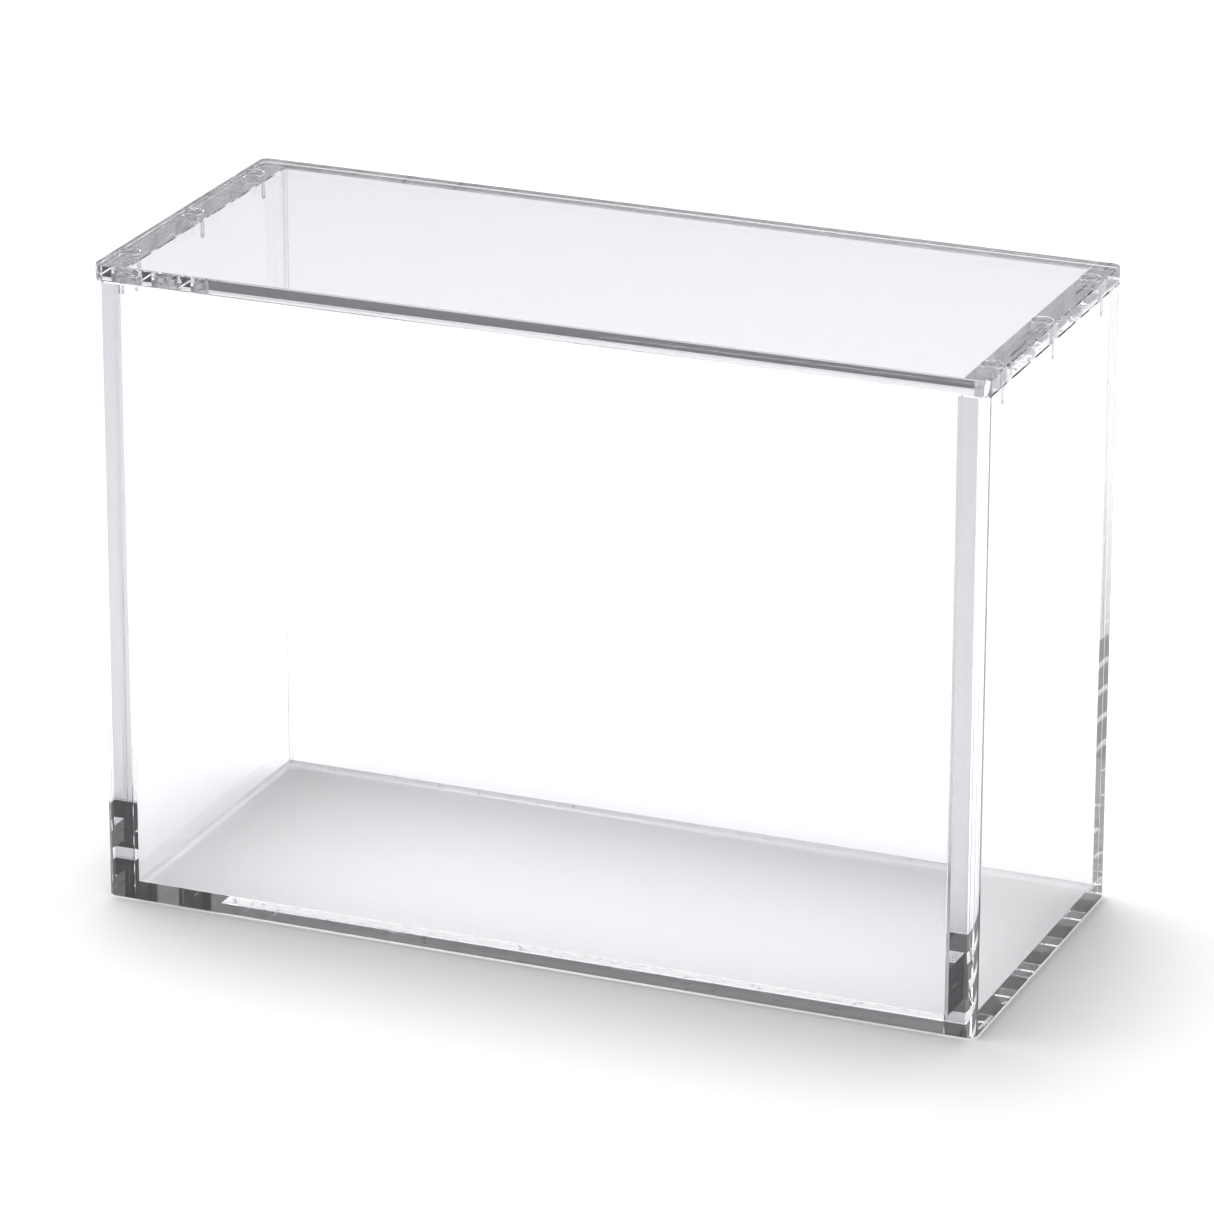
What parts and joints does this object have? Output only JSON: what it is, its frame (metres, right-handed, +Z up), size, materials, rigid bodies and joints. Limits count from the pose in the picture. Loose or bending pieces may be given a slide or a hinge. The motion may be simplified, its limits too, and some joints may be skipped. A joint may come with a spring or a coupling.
{
  "type": "acrylic display case",
  "caption": "Clear acrylic display case with thick end walls and a lift-off lid that drops over stepped acrylic pegs.",
  "frame": {"origin": "centre of the footprint, on the surface that the case stands on", "axes": "+Z up, +X along the long front face to the viewer's right, +Y from front to back"},
  "size_m": [0.285, 0.12, 0.205],
  "materials": {
    "sheet": "clear cast acrylic sheet, polished edges",
    "end_wall": "clear cast acrylic, diamond-polished edges",
    "peg": "clear turned acrylic rod"
  },
  "bodies": {
    "case": {"base_plate": "sheet", "left_wall": "end_wall", "right_wall": "end_wall", "front_panel": "sheet", "back_panel": "sheet", "peg_left_front": "peg", "peg_left_middle": "peg", "peg_left_back": "peg", "peg_right_front": "peg", "peg_right_middle": "peg", "peg_right_back": "peg"},
    "lid": {"lid": "sheet"}
  },
  "joints": [
    {"name": "lid_lift", "type": "slide", "parent": "case", "child": "lid", "axis": [0, 0, 1], "range_m": [0, 0.15]}
  ]
}
